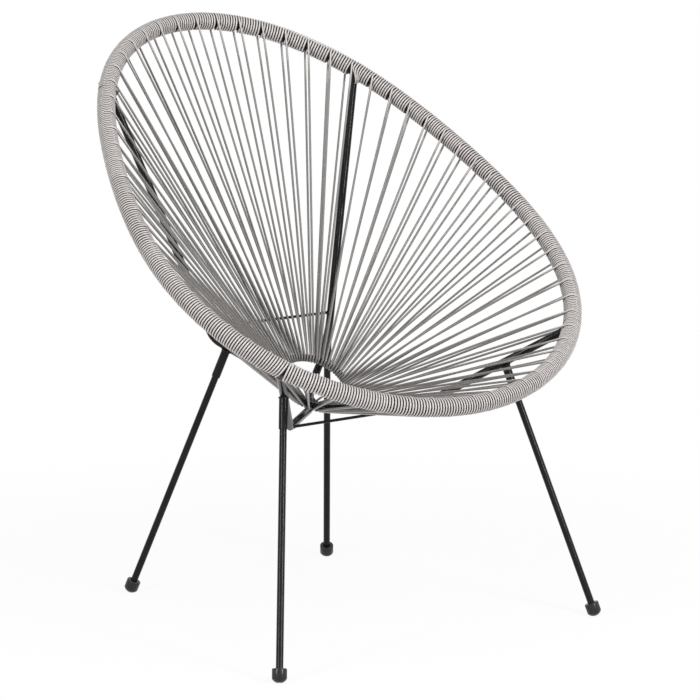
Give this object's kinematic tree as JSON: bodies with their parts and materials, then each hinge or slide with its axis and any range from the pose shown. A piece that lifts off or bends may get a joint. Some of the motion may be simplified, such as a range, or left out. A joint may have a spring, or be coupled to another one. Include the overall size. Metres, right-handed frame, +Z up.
{
  "type": "acapulco chair",
  "caption": "Lounge chair with a pear-shaped rim hoop wound in plastic cord, a bowl of taut cord pairs drawn to a small centre ring, and splayed plug-in steel legs with rubber caps.",
  "frame": {"origin": "middle of the overall box, at floor level under the feet", "axes": "+Z up; the chair faces -Y; +X is the sitter's left; X = 0 is the mirror plane"},
  "size_m": [0.7178, 0.7137, 0.8786],
  "materials": {
    "black_coat": "satin black powder coat",
    "grey_cord": "smooth warm grey plastic cord with a soft sheen",
    "foot_rubber": "matte black"
  },
  "bodies": {
    "root": {"rim_hoop": "black_coat", "centre_ring": "black_coat", "side_tube_left": "black_coat", "side_tube_right": "black_coat", "tie_rod_rear": "black_coat", "tie_rod_front": "black_coat", "socket_front_left": "black_coat", "leg_front_left": "black_coat", "foot_cap_front_left": "foot_rubber", "socket_front_right": "black_coat", "leg_front_right": "black_coat", "foot_cap_front_right": "foot_rubber", "socket_rear_left": "black_coat", "leg_rear_left": "black_coat", "foot_cap_rear_left": "foot_rubber", "socket_rear_right": "black_coat", "leg_rear_right": "black_coat", "foot_cap_rear_right": "foot_rubber", "cord_panel_01": "grey_cord", "cord_panel_02": "grey_cord", "cord_panel_03": "grey_cord", "cord_panel_04": "grey_cord", "cord_panel_05": "grey_cord", "cord_panel_06": "grey_cord", "cord_panel_07": "grey_cord", "cord_panel_08": "grey_cord", "cord_panel_09": "grey_cord", "cord_panel_10": "grey_cord", "cord_panel_11": "grey_cord", "cord_panel_12": "grey_cord", "cord_panel_13": "grey_cord", "cord_panel_14": "grey_cord", "cord_panel_15": "grey_cord", "cord_panel_16": "grey_cord"}
  },
  "joints": []
}
